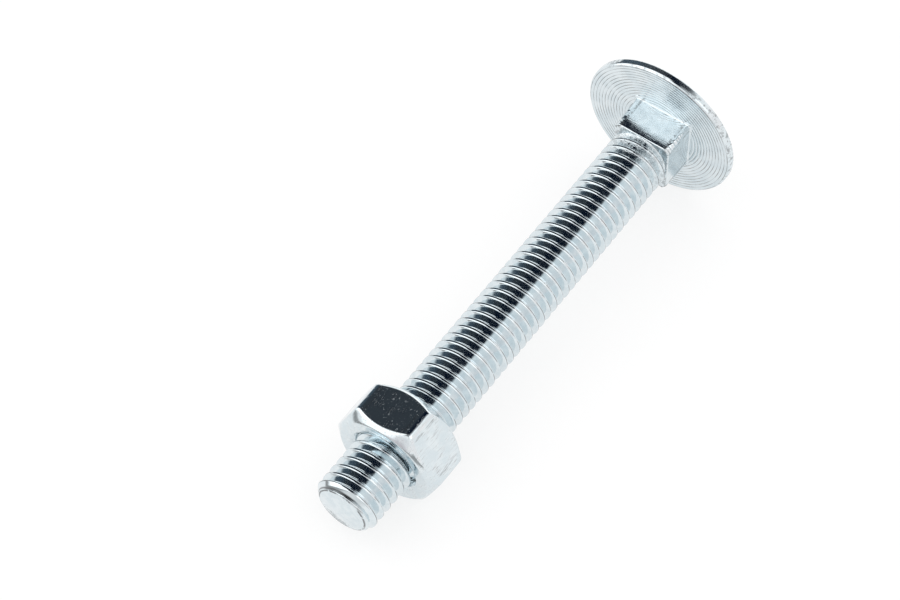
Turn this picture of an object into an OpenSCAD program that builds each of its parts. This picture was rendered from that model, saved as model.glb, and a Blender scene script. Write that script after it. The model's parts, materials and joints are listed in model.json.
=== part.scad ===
// Carriage bolt with a domed head, a square neck and a full thread, and its hex nut.
// It lies as it comes to rest, on the rim of its head and on one flat of the nut.
// The head is at -X, the point at +X and up is +Z, with the surface under it at z = 0.

/* [Bolt] */
// Length from the bearing face under the head to the point
length = 64.2; // [60:0.1:80]

/* [Head] */
// Diameter of the head
head_d = 20.2; // [19.4:0.1:20.6]
// Height of the head from its bearing face to the top of the dome
head_h = 4.3; // [4.1:0.1:4.8]
// Height of the rim, from the bearing face to the edge of the dome
rim_h = 1; // [0.8:0.1:1.6]
// Rounding between the bearing face and the rim
rim_round = 0.45; // [0.2:0.05:0.7]
// Distance of the shank's axis from the middle of the head, to one side
shank_off = 0.55; // [0:0.05:0.7]

/* [Square neck] */
// Width of the neck across its flats
neck_w = 7.6; // [7.5:0.05:8.5]
// Depth of the neck from the bearing face
neck_l = 4.7; // [4.4:0.1:5.6]
// Diameter over the corners of the neck at the head
neck_corner_d = 10.5; // [10.2:0.1:10.7]
// Diameter over the worn corners of the neck at its other end
neck_worn_d = 10; // [9.6:0.1:10.2]
// Turn of the neck about the bolt, from square with the nut
neck_turn = -6; // [-45:1:45]

/* [Thread] */
// Diameter over the crests of the thread
thread_d = 7.9; // [7.76:0.02:7.98]
// Pitch of the thread, one crest to the next
pitch = 1.25; // [1:0.05:1.5]
// Turn of the thread about the bolt
thread_turn = 212; // [0:1:359]
// Length of the chamfer on the point
point_l = 0.8; // [0.4:0.1:1.2]

/* [Nut] */
// Width of the nut across its flats
nut_w = 12.8; // [12.7:0.05:13]
// Height of the nut
nut_h = 6.2; // [6.1:0.1:6.8]
// Diameter over the rounded corners of the nut
nut_corner_d = 14.4; // [14.3:0.05:14.65]
// Diameter of the flat on each end of the nut, inside the chamfer
nut_face_d = 11.9; // [11.2:0.1:12.4]
// Angle of the chamfer to the end of the nut
nut_chamfer = 42; // [25:1:45]
// Rounding between each end of the nut and its chamfer
nut_round = 0.4; // [0.1:0.05:0.6]
// Diameter of the bore, which just clears the crests of the thread
bore_d = 8.1; // [8.04:0.02:8.2]
// Diameter of the countersink at each end of the bore
sink_d = 9.1; // [8.6:0.1:9.6]
// Distance from the bearing face under the head to the nut
nut_at = 50.3; // [20:0.1:52]

/* [Hidden] */

$fn = 96;
zinc = [0.78, 0.82, 0.84];

// Head: the dome is part of a sphere that meets the rim at its upper edge.
head_r = head_d / 2;
dome_h = head_h - rim_h;
dome_r = (head_r * head_r + dome_h * dome_h) / (2 * dome_h);

// Thread: the ISO metric section, with a crest P/8 wide and 60 degrees between its flanks.
steps = 24;
thread_depth = 0.61343 * pitch;
crest_r = thread_d / 2;
root_r = crest_r - thread_depth;
blank_r = crest_r - 0.35 * thread_depth;
crest_w = pitch / 8;
flank_w = thread_depth * tan(30);
section_z = [-crest_w / 2 - flank_w, -crest_w / 2, crest_w / 2, crest_w / 2 + flank_w];
section_r = [root_r, crest_r, crest_r, root_r];
runout_l = 1.3 * pitch;
thread_from = neck_l - pitch;
last = steps * (ceil((length - thread_from) / pitch) + 2);

// Nut: the chamfer meets the middle of each flat before it meets the corners.
nut_face_r = nut_face_d / 2;
nut_corner_r = nut_corner_d / 2;
corner_drop = (nut_corner_r - nut_face_r) * tan(nut_chamfer);
flat_drop = (nut_w / 2 - nut_face_r) * tan(nut_chamfer);

// At rest: the rim's rounding and the far end of the nut's flat touch the same surface.
rest_run = nut_at + nut_h - flat_drop + rim_round;
rest_drop = head_r - rim_round - nut_w / 2;
lean = atan(rest_drop / rest_run) + asin(rim_round / norm([rest_run, rest_drop]));
seat_z = (head_r - rim_round) * cos(lean) + rim_round * (1 - sin(lean));
low_x = (dome_r - head_h) * cos(lean) - dome_r;
high_x = length * cos(lean) + (crest_r - point_l) * sin(lean);

// Lays what is drawn up along +Z down along +X, with the bearing face at the head's place.
module lay() {
    translate([-(low_x + high_x) / 2, 0, seat_z]) rotate([0, 90 + lean, 0]) children();
}

// Lays what is drawn about the shank's axis, which is a little to one side of the head's middle.
module lay_on_axis() {
    lay() translate([0, shank_off, 0]) children();
}

module head_outline() {
    translate([0, -head_h]) square([head_r - rim_round, head_h]);
    translate([0, -head_h]) square([head_r, head_h - rim_round]);
    translate([head_r - rim_round, -rim_round]) circle(r = rim_round);
}

module head() {
    intersection() {
        rotate_extrude() head_outline();
        translate([0, 0, dome_r - head_h]) sphere(r = dome_r);
    }
}

module neck() {
    worn = 0.5;
    sunk = 0.5;
    intersection() {
        rotate(neck_turn) translate([-neck_w / 2, -neck_w / 2, -sunk])
            cube([neck_w, neck_w, neck_l + sunk]);
        rotate_extrude() polygon([
            [0, -sunk], [neck_corner_d / 2, -sunk], [neck_corner_d / 2, 0],
            [neck_worn_d / 2, neck_l - worn], [neck_worn_d / 2 - worn, neck_l], [0, neck_l]]);
    }
}

// How far the thread is formed at height z: 0 on the plain stub at the neck, 1 past the run-out.
function formed(z) = max(0, min(1, (z - neck_l) / runout_l));

// Corner k of the section after i steps of the helix.
function helix_point(i, k) =
    let (a = i * 360 / steps, z = thread_from + pitch * i / steps + section_z[k])
    let (r = blank_r + (section_r[k] - blank_r) * formed(z))
    [r * cos(a), r * sin(a), z];

function at(i, k) = 4 * i + k;

function quad(a, b, c, d) = [[a, b, c], [a, c, d]];

function fan(loop, hub) = [for (k = [0:len(loop) - 1]) [loop[k], loop[(k + 1) % len(loop)], hub]];

// Right-hand thread as one closed skin: crest and flanks, roots, and a cap on each end.
module thread() {
    low_hub = 4 * (last + 1);
    points = concat(
        [for (i = [0:last], k = [0:3]) helix_point(i, k)],
        [[0, 0, thread_from + section_z[0]]],
        [[0, 0, thread_from + pitch * last / steps + section_z[3]]]);
    ridge = [for (i = [0:last - 1], k = [0:2], face =
        quad(at(i, k), at(i, k + 1), at(i + 1, k + 1), at(i + 1, k))) face];
    root = [for (i = [0:last - steps - 1], face =
        quad(at(i, 3), at(i + steps, 0), at(i + steps + 1, 0), at(i + 1, 3))) face];
    low_loop = concat([for (i = [0:steps]) at(i, 0)], [at(0, 3), at(0, 2), at(0, 1)]);
    high_loop = concat(
        [for (k = [0:3]) at(last, k)], [for (i = [1:steps]) at(last - i, 3)]);
    polyhedron(points, concat(ridge, root, fan(low_loop, low_hub), fan(high_loop, low_hub + 1)));
}

module shank() {
    past = 0.5;
    intersection() {
        rotate(thread_turn) thread();
        rotate_extrude() polygon([
            [0, 0], [crest_r + past, 0], [crest_r + past, length - point_l - past],
            [crest_r - point_l, length], [0, length]]);
    }
}

module bolt() {
    color(zinc) {
        lay() head();
        lay_on_axis() neck();
        lay_on_axis() shank();
    }
}

// Half of the nut's section from one end to its middle, with the rounding at the chamfer.
module nut_end() {
    tangent = nut_round * tan(nut_chamfer / 2);
    polygon([
        [0, 0], [nut_face_r - tangent, 0],
        [nut_face_r + tangent * cos(nut_chamfer), tangent * sin(nut_chamfer)],
        [nut_corner_r, corner_drop], [nut_corner_r, nut_h / 2], [0, nut_h / 2]]);
    translate([nut_face_r - tangent, nut_round]) circle(r = nut_round);
}

module nut_outline() {
    nut_end();
    translate([0, nut_h]) mirror([0, 1]) nut_end();
}

module nut_bore() {
    sink = (sink_d - bore_d) / 2;
    past = 1;
    rotate_extrude() polygon([
        [0, -past], [sink_d / 2 + past, -past], [bore_d / 2, sink],
        [bore_d / 2, nut_h - sink], [sink_d / 2 + past, nut_h + past], [0, nut_h + past]]);
}

module hex_nut() {
    color(zinc) lay_on_axis() translate([0, 0, nut_at]) difference() {
        intersection() {
            rotate(30) cylinder(d = nut_w / cos(30), h = nut_h, $fn = 6);
            rotate_extrude() nut_outline();
        }
        nut_bore();
    }
}

bolt();
hex_nut();
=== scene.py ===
"""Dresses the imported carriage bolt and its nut: full thread, turned head and bright zinc.

Every sub-assembly is drawn in millimetres in the bolt's own frame, and laid in place at the
end. In that frame the bearing face under the head is z = 0, the dome lies below it, +Z runs
to the point and -X is the side that faces up.
"""

from __future__ import annotations

import json
import logging
import math
from dataclasses import dataclass
from enum import Enum
from typing import Any, Callable, Iterable

import bmesh
import bpy
from mathutils import Matrix, Vector, noise

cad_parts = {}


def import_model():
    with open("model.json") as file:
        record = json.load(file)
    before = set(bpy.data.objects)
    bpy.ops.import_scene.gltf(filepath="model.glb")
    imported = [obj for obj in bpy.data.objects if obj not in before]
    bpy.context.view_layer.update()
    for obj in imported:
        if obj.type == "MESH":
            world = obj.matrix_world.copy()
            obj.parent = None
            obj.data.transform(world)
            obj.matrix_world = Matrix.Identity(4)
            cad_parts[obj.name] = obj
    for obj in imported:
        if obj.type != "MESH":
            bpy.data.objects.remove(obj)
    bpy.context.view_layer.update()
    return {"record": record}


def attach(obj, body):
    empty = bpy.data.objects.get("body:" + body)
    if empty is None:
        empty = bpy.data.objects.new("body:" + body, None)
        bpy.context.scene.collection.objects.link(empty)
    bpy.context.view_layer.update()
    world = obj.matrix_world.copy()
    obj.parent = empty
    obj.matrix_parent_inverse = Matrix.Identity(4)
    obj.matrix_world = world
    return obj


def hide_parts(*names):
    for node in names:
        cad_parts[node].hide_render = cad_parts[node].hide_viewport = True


log = logging.getLogger("carriage_bolt")

MM = 0.001
TURN = 2 * math.pi
FLANK_SLOPE = math.tan(math.radians(30))
AXIS_AT = (0, 0, 0)
AXIS_WAY = (0, 0, 1)
SEAM_WELD = 2e-4
LEVEL_WITHIN = 1e-4

# An Edge is soft: it eases from its first number to its second. A Band lies between two.
Point = tuple[float, float]
Edge = tuple[float, float]
Band = tuple[Edge, Edge]
Colour = tuple[float, float, float]
Place = tuple[float, float, float]


class Part(Enum):
    """The two parts of the object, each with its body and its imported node."""

    BOLT = ("bolt", "bolt")
    NUT = ("nut", "hex_nut")


def clamped(value: float) -> float:
    """Keeps a value between 0 and 1."""
    return max(0.0, min(1.0, value))


def smooth_step(value: float, low: float, high: float) -> float:
    """Gives 0 below low, 1 above high and an even ease between them."""
    t = clamped((value - low) / (high - low))
    return t * t * (3 - 2 * t)


def between(first: Point, last: Point, share: float) -> Point:
    """Gives the point a share of the way from the first to the last."""
    return first[0] + (last[0] - first[0]) * share, first[1] + (last[1] - first[1]) * share


@dataclass(frozen=True)
class BoltFrame:
    """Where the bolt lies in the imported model.

    Args:
        seat: Centre of the bearing face under the head, in metres.
        along: Unit direction of the bolt from its head to its point.
        length: Length from the bearing face to the point, in millimetres.
        nut_at: Distance from the bearing face to the nut, in millimetres.
        head_off: Place of the head's middle across the shank's axis, in millimetres.
    """

    seat: Vector
    along: Vector
    length: float
    nut_at: float
    head_off: float

    @classmethod
    def from_record(cls, record: dict[str, Any]) -> BoltFrame:
        """Reads the bolt's place from the record's mounts.

        Args:
            record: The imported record.

        Returns:
            The frame that all the pieces are laid in.
        """
        mounts = {mount["name"]: mount for mount in record["mounts"]}
        along = Vector(mounts["thread"]["axis"]).normalized()
        neck = Vector(mounts["square_neck"]["pos_m"])
        thread = Vector(mounts["thread"]["pos_m"])
        head = Vector(mounts["head_seat"]["pos_m"])
        seat = neck + along * (head - neck).dot(along)
        nut = (Vector(mounts["nut_seat"]["pos_m"]) - seat).dot(along)
        length = 2 * (thread - neck).length / MM
        return cls(seat, along, length, nut / MM, (head - seat).y / MM)

    @property
    def lean(self) -> float:
        """Angle that turns the bolt's own +Z onto its direction, about +Y."""
        return math.atan2(self.along.x, self.along.z)

    def placing(self) -> Matrix:
        """Matrix from millimetres in the bolt's own frame to the model, in metres."""
        turn = Matrix.Rotation(self.lean, 4, "Y")
        return Matrix.Translation(self.seat) @ turn @ Matrix.Scale(MM, 4)


class Outline:
    """A line of (radius, height) points that a revolved shape is spun from."""

    def __init__(self, start: Point) -> None:
        """Starts the line at one point."""
        self.points: list[Point] = [start]

    def to(self, *points: Point) -> Outline:
        """Adds straight lines to the points, in order."""
        self.points.extend(points)
        return self

    def line(self, end: Point, pieces: int) -> Outline:
        """Adds one straight line cut into equal pieces.

        Args:
            end: Where the line ends.
            pieces: Number of pieces.

        Returns:
            The outline itself.
        """
        start = self.points[-1]
        return self.to(*(between(start, end, i / pieces) for i in range(1, pieces + 1)))

    def arc(self, centre: Point, radius: float, start: float, end: float, pieces: int) -> Outline:
        """Adds an arc.

        Args:
            centre: Centre of the arc.
            radius: Its radius.
            start: Angle of its first point from the +radius direction, in degrees.
            end: Angle of its last point.
            pieces: Number of straight pieces that it is cut into.

        Returns:
            The outline itself.
        """
        for i in range(pieces + 1):
            a = math.radians(start + (end - start) * i / pieces)
            self.to((centre[0] + radius * math.cos(a), centre[1] + radius * math.sin(a)))
        return self


def drawn(
    bm: bmesh.types.BMesh, points: Iterable[Point], closed: bool
) -> list[bmesh.types.BMVert | bmesh.types.BMEdge]:
    """Draws an outline in a mesh, in the half-plane at angle 0.

    Args:
        bm: The mesh.
        points: The outline, as (radius, height) points.
        closed: Whether the outline's last point joins its first.

    Returns:
        Its vertices and edges.
    """
    verts = [bm.verts.new((r, 0, z)) for r, z in points]
    ends = verts[1:] + verts[:1] if closed else verts[1:]
    return [*verts, *(bm.edges.new(pair) for pair in zip(verts, ends))]


def spun(points: list[Point], steps: int, closed: bool = False) -> bmesh.types.BMesh:
    """Spins an outline once round the bolt's axis.

    Args:
        points: The outline, as (radius, height) points.
        steps: Number of steps in the full turn.
        closed: Whether the outline's last point joins its first.

    Returns:
        A closed mesh, with its seam and poles merged.
    """
    bm = bmesh.new()
    bmesh.ops.spin(
        bm, geom=drawn(bm, points, closed), cent=AXIS_AT, axis=AXIS_WAY, dvec=(0, 0, 0),
        angle=TURN, steps=steps, use_merge=True, use_normal_flip=False, use_duplicate=False,
    )
    bmesh.ops.remove_doubles(bm, verts=bm.verts[:], dist=SEAM_WELD)
    return bm


def turned_by(bm: bmesh.types.BMesh, angle: float) -> None:
    """Turns a mesh about the bolt's axis by an angle in radians."""
    turn = Matrix.Rotation(angle, 3, "Z")
    bmesh.ops.rotate(bm, cent=AXIS_AT, matrix=turn, verts=bm.verts[:])


def reshape(bm: bmesh.types.BMesh, move: Callable[[float, float, float], Point]) -> None:
    """Moves every vertex in its own half-plane through the axis.

    Args:
        bm: The mesh to change.
        move: Takes a vertex's angle, radius and height and gives its new radius and height.
    """
    on_axis = 1e-6
    for vert in bm.verts:
        radius = math.hypot(vert.co.x, vert.co.y)
        if radius < on_axis:
            continue
        angle = math.atan2(vert.co.y, vert.co.x)
        new_radius, height = move(angle, radius, vert.co.z)
        vert.co = (new_radius * math.cos(angle), new_radius * math.sin(angle), height)


def close_ends(bm: bmesh.types.BMesh) -> None:
    """Fills every open loop with one face.

    Args:
        bm: The mesh to close.
    """
    rims = [edge for edge in bm.edges if edge.is_boundary]
    if rims:
        bmesh.ops.holes_fill(bm, edges=rims, sides=0)


@dataclass
class Workshop:
    """Turns meshes in the bolt's own frame into pieces of the model.

    Args:
        frame: Where the bolt lies.
    """

    frame: BoltFrame

    def piece(
        self, name: str, bm: bmesh.types.BMesh, material: bpy.types.Material, part: Part
    ) -> None:
        """Lays a mesh in place and makes it a piece that rides on a body.

        Args:
            name: Name of the piece.
            bm: Its mesh, which is freed.
            material: Its finish.
            part: The part that it belongs to, and whose node it stands for.
        """
        body, node = part.value
        bmesh.ops.recalc_face_normals(bm, faces=bm.faces[:])
        bmesh.ops.transform(
            bm, matrix=self.frame.placing(), space=Matrix.Identity(4), verts=bm.verts[:]
        )
        for face in bm.faces:
            face.smooth = True
        mesh = bpy.data.meshes.new(name)
        bm.to_mesh(mesh)
        bm.free()
        mesh.materials.append(material)
        obj = bpy.data.objects.new(name, mesh)
        bpy.context.scene.collection.objects.link(obj)
        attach(obj, body)
        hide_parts(node)
        log.info("%s: %d faces", name, len(mesh.polygons))


# Finishes


class Socket:
    """A shader socket that takes part in arithmetic."""

    def __init__(self, graph: Graph, socket: bpy.types.NodeSocket) -> None:
        """Wraps one output socket of a graph."""
        self.graph = graph
        self.socket = socket

    def _math(self, operation: str, *values: Any) -> Socket:
        """Adds a Math node and gives its result."""
        return self.graph.node("ShaderNodeMath", {"operation": operation}, dict(enumerate(values)))

    def __add__(self, other: Any) -> Socket:
        """Sum of two values."""
        return self._math("ADD", self, other)

    def __sub__(self, other: Any) -> Socket:
        """Difference of two values."""
        return self._math("SUBTRACT", self, other)

    def __rsub__(self, other: Any) -> Socket:
        """Difference with the socket as the second value."""
        return self._math("SUBTRACT", other, self)

    def __mul__(self, other: Any) -> Socket:
        """Product of two values."""
        return self._math("MULTIPLY", self, other)

    __radd__ = __add__
    __rmul__ = __mul__

    def ramp(self, low: float, high: float, start: float = 0.0, end: float = 1.0) -> Socket:
        """Eases from one value to another.

        Args:
            low: Value of the socket at which the ease begins.
            high: Value of the socket at which it ends.
            start: What it gives before the ease.
            end: What it gives after it.

        Returns:
            The eased value.
        """
        return self.graph.node(
            "ShaderNodeMapRange",
            {"interpolation_type": "SMOOTHSTEP", "clamp": True},
            {"Value": self, "From Min": low, "From Max": high, "To Min": start, "To Max": end},
        )

    def band(self, rise: Edge, fall: Edge) -> Socket:
        """Gives 1 between two soft edges, each eased from its first number to its second."""
        return self.ramp(*rise) * self.ramp(*fall)

    def ramp_degrees(self, low: float, high: float) -> Socket:
        """Eases from 0 to 1 as an angle goes from low to high, which are in degrees."""
        return self.ramp(math.radians(low), math.radians(high))

    def sector(self, rise: Edge, fall: Edge) -> Socket:
        """Gives 1 between two soft edges of an angle, which are in degrees."""
        return self.ramp_degrees(*rise) * self.ramp_degrees(*fall)


class Graph:
    """A node tree with one method that makes any node."""

    def __init__(self, tree: bpy.types.NodeTree) -> None:
        """Empties the tree."""
        self.tree = tree
        tree.nodes.clear()

    def node(
        self, kind: str, settings: dict[str, Any], inputs: dict[Any, Any], output: Any = 0
    ) -> Socket:
        """Makes one node.

        Args:
            kind: Type of the node.
            settings: Its settings, which are set first.
            inputs: Values or links of its sockets, by name or number.
            output: Name or number of the socket that is wanted.

        Returns:
            The wanted output socket.
        """
        made = self.tree.nodes.new(kind)
        for name, value in settings.items():
            setattr(made, name, value)
        for name, value in inputs.items():
            if isinstance(value, Socket):
                self.tree.links.new(value.socket, made.inputs[name])
            else:
                made.inputs[name].default_value = value
        return Socket(self, made.outputs[output] if made.outputs else None)

    def blend(self, factor: Any, first: Colour | Socket, second: Colour | Socket) -> Socket:
        """Mixes two colours.

        Args:
            factor: Share of the second colour.
            first: Colour at a factor of 0.
            second: Colour at a factor of 1.

        Returns:
            The mixed colour.
        """
        first, second = (
            (*colour, 1) if isinstance(colour, tuple) else colour for colour in (first, second)
        )
        return self.node(
            "ShaderNodeMix", {"data_type": "RGBA"}, {0: factor, 6: first, 7: second}, output=2
        )

    def parts(self, vector: Socket) -> tuple[Socket, ...]:
        """Splits a vector into its three parts."""
        split = self.node("ShaderNodeSeparateXYZ", {}, {0: vector})
        return tuple(Socket(self, output) for output in split.socket.node.outputs)

    def angle(self, side: Socket, ahead: Socket) -> Socket:
        """Gives the angle in radians from straight ahead, growing towards the side."""
        return self.node("ShaderNodeMath", {"operation": "ARCTAN2"}, {0: side, 1: ahead})

    def radius(self, place: Socket, aside: float = 0.0) -> Socket:
        """Measures the distance from the shank's axis, or from a line beside it.

        Args:
            place: Place in the bolt's own frame.
            aside: How far the line stands from the axis, along +Y.

        Returns:
            The distance.
        """
        flat = self.node(
            "ShaderNodeMapping", {"vector_type": "POINT"},
            {"Vector": place, "Location": (0, -aside, 0), "Scale": (1, 1, 0)},
        )
        return self.node("ShaderNodeVectorMath", {"operation": "LENGTH"}, {0: flat}, output=1)

    def grain(self, place: Socket, scale: float, detail: float, rough: float = 0.55) -> Socket:
        """Makes noise.

        Args:
            place: Where it is read.
            scale: Number of its broadest spots in about one unit of the place.
            detail: Number of finer layers.
            rough: Strength of each finer layer.

        Returns:
            The noise, from 0 to 1.
        """
        return self.node(
            "ShaderNodeTexNoise", {},
            {"Vector": place, "Scale": scale, "Detail": detail, "Roughness": rough},
        )

    def streaks(self, place: Socket, scale: Place) -> Socket:
        """Makes noise that is drawn out.

        Args:
            place: Where it is read.
            scale: Its scale along each axis.

        Returns:
            The noise, from 0 to 1.
        """
        drawn_out = self.node(
            "ShaderNodeMapping", {"vector_type": "POINT"}, {"Vector": place, "Scale": scale}
        )
        return self.grain(drawn_out, 1, detail=2)


@dataclass
class Skin:
    """A surface while its finish is worked out.

    Args:
        graph: The graph of its material.
        place: Place in the bolt's own frame, in millimetres.
        x: First part of the place, which falls towards the side that faces up.
        y: Second part of the place, across the bolt.
        z: Third part of the place, along the bolt.
        radius: Distance from the shank's axis.
        cloud: Broad noise.
        fine: Fine noise.
        specks: Where the fine noise is high, from 0 to 1.
        tint: Colour so far.
        rough: Roughness so far.
        height: Height of the bumps so far, in millimetres.
    """

    graph: Graph
    place: Socket
    x: Socket
    y: Socket
    z: Socket
    radius: Socket
    cloud: Socket
    fine: Socket
    specks: Socket
    tint: Socket
    rough: Socket
    height: Socket


@dataclass(frozen=True)
class Speckle:
    """Noise cut down to separate specks or patches.

    Args:
        scale: Number of its broadest spots in about a millimetre.
        cut: Noise at which a speck begins, and at which it is full.
        detail: Number of finer layers.
        rough: Strength of each finer layer.
        ends: What it gives outside the specks, and inside them.
    """

    scale: float
    cut: Edge
    detail: float = 3.0
    rough: float = 0.55
    ends: Edge = (0.0, 1.0)

    def on(self, skin: Skin) -> Socket:
        """Spreads the specks over a surface."""
        spots = skin.graph.grain(skin.place, self.scale, self.detail, self.rough)
        return spots.ramp(*self.cut, *self.ends)


@dataclass(frozen=True, kw_only=True)
class Zinc:
    """Bright electroplated zinc. Its kinds differ in how the steel under it was worked.

    Args:
        frame: The bolt's place, which centres the patterns on it.
        name: Name of the material.
        roughness: Lowest and highest roughness.
        mottle: Size of the cloudy patches, in millimetres.
        bump: Depth of the surface grain, in millimetres.
        marks: Strength of the marks that the work left, and of the shade that some kinds paint
            with them, from 0 to 1.
        colour: Colour of the plating.
        shade: Colour where the plating is thinner.
        grime_and_shade: Colour of the marks that hold dirt, and of the shade that some kinds
            paint.
        cloud_share: Share of the broad noise in the bumps.
        fine_share: Share of the fine noise in the bumps.
        fine_scale: Scale of the fine noise.
        patch_cut: Broad noise at which the thin plating ends, and the full plating begins.
        speck_cut: Fine noise at which a speck begins, and at which it is full.
        speck_rough: Roughness that a speck adds.
        dirt_and_shade_rough: Roughness that dirt and painted shade add.
    """

    frame: BoltFrame
    name: str
    roughness: Edge
    mottle: float
    bump: float
    marks: float
    colour: Colour = (0.775, 0.835, 0.86)
    shade: Colour = (0.70, 0.775, 0.81)
    grime_and_shade: Colour = (0.12, 0.12, 0.125)
    cloud_share: float = 0.4
    fine_share: float = 0.3
    fine_scale: float = 7
    patch_cut: Edge = (0.35, 0.68)
    speck_cut: Edge = (0.6, 0.72)
    speck_rough: float = 0.15
    dirt_and_shade_rough: float = 0.12

    def plated(self, graph: Graph) -> Skin:
        """Starts the finish with plating that has no marks yet.

        Args:
            graph: The graph of its material.

        Returns:
            The surface so far.
        """
        where = graph.node("ShaderNodeTexCoord", {}, {}, output="Object")
        place = graph.node(
            "ShaderNodeMapping", {"vector_type": "TEXTURE"},
            {"Vector": where, "Location": self.frame.seat[:],
             "Rotation": (0, self.frame.lean, 0), "Scale": (MM, MM, MM)},
        )
        x, y, z = graph.parts(place)
        cloud = graph.grain(place, 1 / self.mottle, detail=4)
        fine = graph.grain(place, self.fine_scale, detail=3)
        patches = cloud.ramp(*self.patch_cut)
        specks = fine.ramp(*self.speck_cut)
        smoothest, roughest = self.roughness
        return Skin(
            graph, place, x, y, z, graph.radius(place), cloud, fine, specks,
            tint=graph.blend(patches, self.shade, self.colour),
            rough=patches.ramp(0, 1, roughest, smoothest) + specks * self.speck_rough,
            height=(cloud * self.cloud_share + fine * self.fine_share) * self.bump,
        )

    def work(self, skin: Skin) -> Socket:
        """Adds the marks that the work left.

        Args:
            skin: The surface, whose colour, roughness and height it may change.

        Returns:
            Where the surface takes the grime colour, from 0 to 1: dirt in the marks, and in some
            kinds painted shade as well.
        """
        raise NotImplementedError

    def material(self) -> bpy.types.Material:
        """Makes the material.

        Returns:
            A node-based material on Object coordinates.
        """
        made = bpy.data.materials.new(self.name)
        made.use_nodes = True
        graph = Graph(made.node_tree)
        skin = self.plated(graph)
        # What the work gives is dirt, and in some kinds painted shade too; both take the grime
        # colour.
        dirt = self.work(skin)
        tint = graph.blend(dirt * self.marks, skin.tint, self.grime_and_shade)
        rough = skin.rough + dirt * self.dirt_and_shade_rough
        bumped = graph.node(
            "ShaderNodeBump", {}, {"Strength": 1.0, "Distance": MM, "Height": skin.height}
        )
        surface = graph.node(
            "ShaderNodeBsdfPrincipled", {},
            {"Base Color": tint, "Metallic": 1.0, "Roughness": rough, "Normal": bumped},
        )
        graph.node("ShaderNodeOutputMaterial", {}, {"Surface": surface})
        return made


@dataclass(frozen=True, kw_only=True)
class TurnedZinc(Zinc):
    """Zinc on the head, which has turned rings under it with shade painted in their grooves, and a
    worn rim.

    Args:
        head: The head, whose rings it follows.
        ring_shade_breaks: Where the painted shade lines in the rings are strong.
        line: Cosine of the place in a ring at which its painted shade line begins, and is full.
        painted_shade_sector: Edges of the sector with darker painted shade lines, in degrees from
            the side
        that faces up, growing towards +Y.
        painted_shade_sector_adds: Strength that the sector adds to a painted shade line.
        under: Height along the bolt at which the rings' painted shade begins, and is full.
        wear: The specks of the rim.
        wear_in: Distance in from the rim at which the wear begins, and is full.
        wear_up: Height along the bolt at which the wear begins, and is full.
        wear_share: Strength of the wear.
        dome: Height along the bolt at which the dome begins, and is full.
        stain: The warm patches on the dome.
        stain_colour: Their colour.
        stain_share: Strength of the stain.
        speck_share: Strength of the dome's specks.
    """

    head: Head
    name: str = "zinc_turned"
    roughness: Edge = (0.10, 0.2)
    mottle: float = 2.4
    bump: float = 0.003
    marks: float = 0.9
    ring_shade_breaks: Speckle = Speckle(0.5, (0.36, 0.62), detail=2, ends=(0.2, 0.8))
    line: Edge = (0.6, 1.0)
    painted_shade_sector: Band = ((0, 22), (60, 48))
    painted_shade_sector_adds: float = 0.25
    under: Edge = (-0.1, -0.06)
    wear: Speckle = Speckle(1.9, (0.48, 0.66), detail=4, rough=0.65)
    wear_in: Edge = (0.35, 0.1)
    wear_up: Edge = (-1.3, -1.0)
    wear_share: float = 0.6
    dome: Edge = (-1.0, -1.4)
    stain: Speckle = Speckle(0.35, (0.4, 0.65), detail=4)
    stain_colour: Colour = (0.85, 0.79, 0.77)
    stain_share: float = 0.6
    speck_share: float = 0.25

    def rings(self, skin: Skin, radius: Socket) -> Socket:
        """Paints shade as dark lines in the grooves that were turned under the head, darker in one
        sector round it.

        Args:
            skin: The surface.
            radius: Distance from the head's middle.

        Returns:
            The lines, from 0 to 1.
        """
        graph = skin.graph
        phase = (radius - self.head.groove_r) * (TURN / self.head.ring_pitch)
        wave = graph.node("ShaderNodeMath", {"operation": "COSINE"}, {0: phase})
        darker = graph.angle(skin.y, skin.x * -1).sector(*self.painted_shade_sector)
        # Painted shade: the ring lines grow darker in one sector round the head.
        strength = self.ring_shade_breaks.on(skin) + darker * self.painted_shade_sector_adds
        return wave.ramp(*self.line) * strength * skin.z.ramp(*self.under)

    def worn_rim(self, skin: Skin, radius: Socket) -> Socket:
        """Draws dark specks along the worn edge of the head.

        Args:
            skin: The surface.
            radius: Distance from the head's middle.

        Returns:
            The specks, from 0 to 1.
        """
        near, full = (self.head.radius - distance for distance in self.wear_in)
        edge = radius.ramp(near, full) * skin.z.ramp(*self.wear_up)
        return self.wear.on(skin) * edge * self.wear_share

    def work(self, skin: Skin) -> Socket:
        """Adds the painted shade in the rings, the worn rim and a faint stain on the dome.

        Args:
            skin: The surface, whose colour it changes.

        Returns:
            Where the surface takes the grime colour: painted shade in the rings, wear on the rim
                and specks on the dome, from 0 to 1.
        """
        radius = skin.graph.radius(skin.place, self.frame.head_off)
        on_dome = skin.z.ramp(*self.dome)
        stained = on_dome * self.stain.on(skin) * self.stain_share
        skin.tint = skin.graph.blend(stained, skin.tint, self.stain_colour)
        # The rings add painted shade, and the rim adds wear.
        edges = self.rings(skin, radius) + self.worn_rim(skin, radius)
        return edges + on_dome * skin.specks * self.speck_share


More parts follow.
